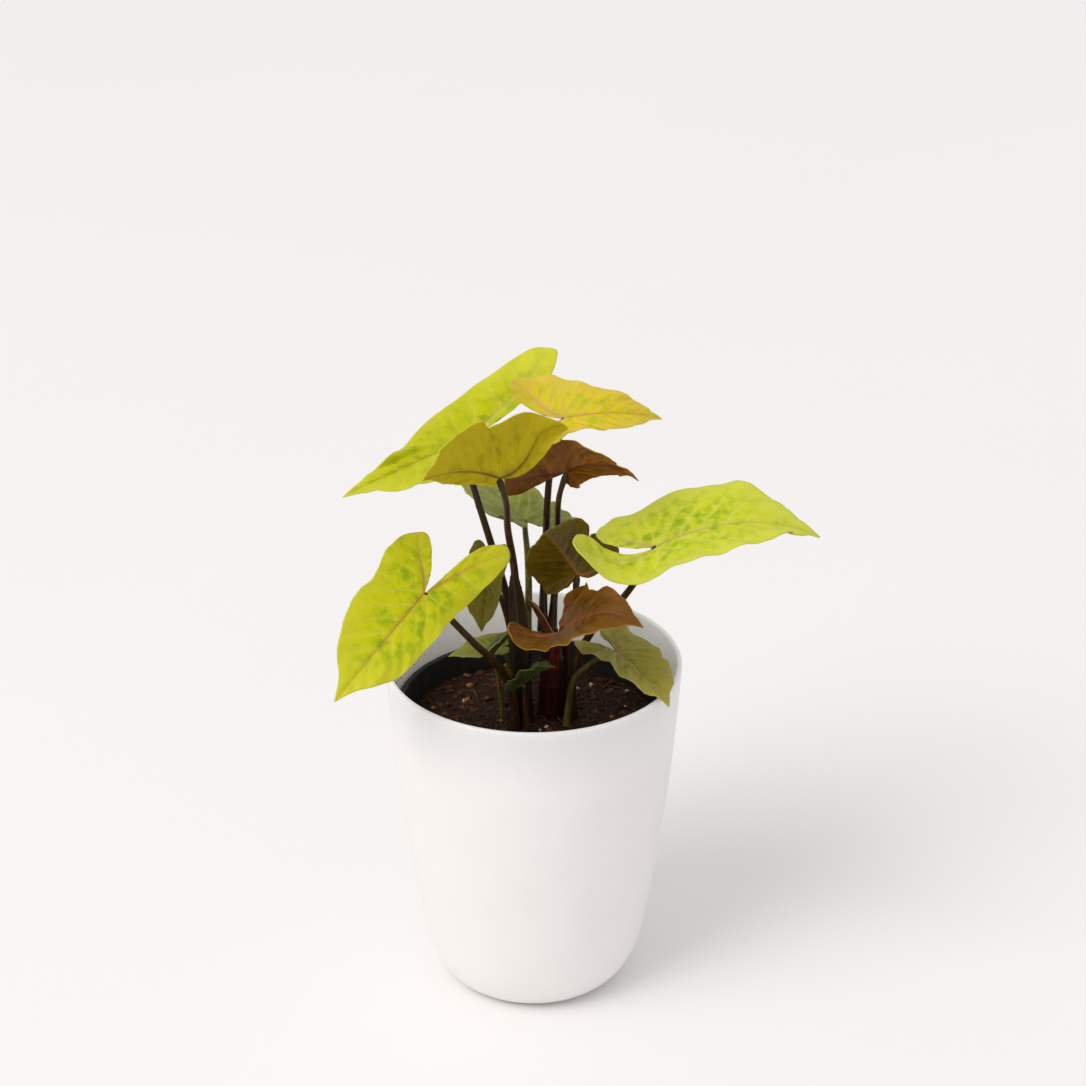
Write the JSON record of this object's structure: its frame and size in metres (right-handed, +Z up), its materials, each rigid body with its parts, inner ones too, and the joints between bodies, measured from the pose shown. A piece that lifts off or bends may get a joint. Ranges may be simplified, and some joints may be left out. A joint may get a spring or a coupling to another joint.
{
  "type": "potted syngonium",
  "caption": "Arrowhead plant with lime, yellow and bronze leaves on thin dark stalks, growing in soil in a nursery pot inside a smooth round white planter",
  "frame": {"origin": "centre of the flat foot of the planter, on the surface it stands on", "axes": "+Z up along the axis of the planter; -Y the side the plant turns to the room; +X to the right seen from that side"},
  "size_m": [0.2034, 0.1591, 0.2917],
  "materials": {
    "planter_white": "satin white moulded plastic",
    "nursery_black": "thin black moulded nursery plastic",
    "soil_brown": "loose coir and bark potting mix, wood density stands in",
    "stem_red": "dark red fleshy stem with a dull shine",
    "stem_brown": "dark brown fleshy stem",
    "stalk_dark": "dark brown-green leaf stalk, smooth satin",
    "stalk_olive": "olive leaf stalk, smooth satin",
    "stalk_red": "red leaf stalk, smooth satin",
    "leaf_lime": "bright lime leaf, satin",
    "leaf_mottled": "lime leaf mottled with darker green, satin",
    "leaf_olive_gold": "olive-gold leaf underside, satin",
    "leaf_yellow": "pale yellow leaf with pink veins, satin",
    "leaf_brown_gold": "brown-gold leaf underside, satin",
    "leaf_bronze": "bronze-olive leaf, satin",
    "leaf_copper": "copper-brown young leaf with pink veins, satin",
    "leaf_pale_olive": "pale olive leaf, satin",
    "leaf_grey_green": "pale grey-green leaf, satin",
    "leaf_dark_olive": "dark olive leaf, satin",
    "leaf_young_green": "small green leaf with a paler edge, satin",
    "leaf_dark_green": "small dark green leaf, satin",
    "sheath_brown": "dark brown papery leaf sheath with lighter edges",
    "bract_red": "red-brown bract with a thin light edge"
  },
  "bodies": {
    "root": {"planter": "planter_white", "nursery_pot": "nursery_black", "soil": "soil_brown", "main_stem": "stem_red", "side_stem": "stem_brown", "left_stalk": "stalk_dark", "right_stalk": "stalk_dark", "top_left_stalk": "stalk_dark", "top_front_stalk": "stalk_dark", "top_right_stalk": "stalk_dark", "centre_top_stalk": "stalk_dark", "bronze_stalk": "stalk_dark", "hanging_stalk": "stalk_dark", "stem_leaf_stalk": "stalk_dark", "back_stalk": "stalk_olive", "low_left_stalk": "stalk_olive", "folded_stalk": "stalk_olive", "low_right_stalk": "stalk_olive", "front_stalk": "stalk_red", "left_leaf": "leaf_lime", "top_left_leaf": "leaf_lime", "right_leaf": "leaf_mottled", "top_front_leaf": "leaf_olive_gold", "top_right_leaf": "leaf_yellow", "centre_top_leaf": "leaf_brown_gold", "bronze_leaf": "leaf_bronze", "front_leaf": "leaf_copper", "low_right_leaf": "leaf_pale_olive", "back_leaf": "leaf_grey_green", "hanging_leaf": "leaf_dark_olive", "low_left_leaf": "leaf_young_green", "folded_leaf": "leaf_young_green", "stem_leaf": "leaf_dark_green", "sheath": "sheath_brown", "bract": "bract_red"}
  },
  "joints": []
}
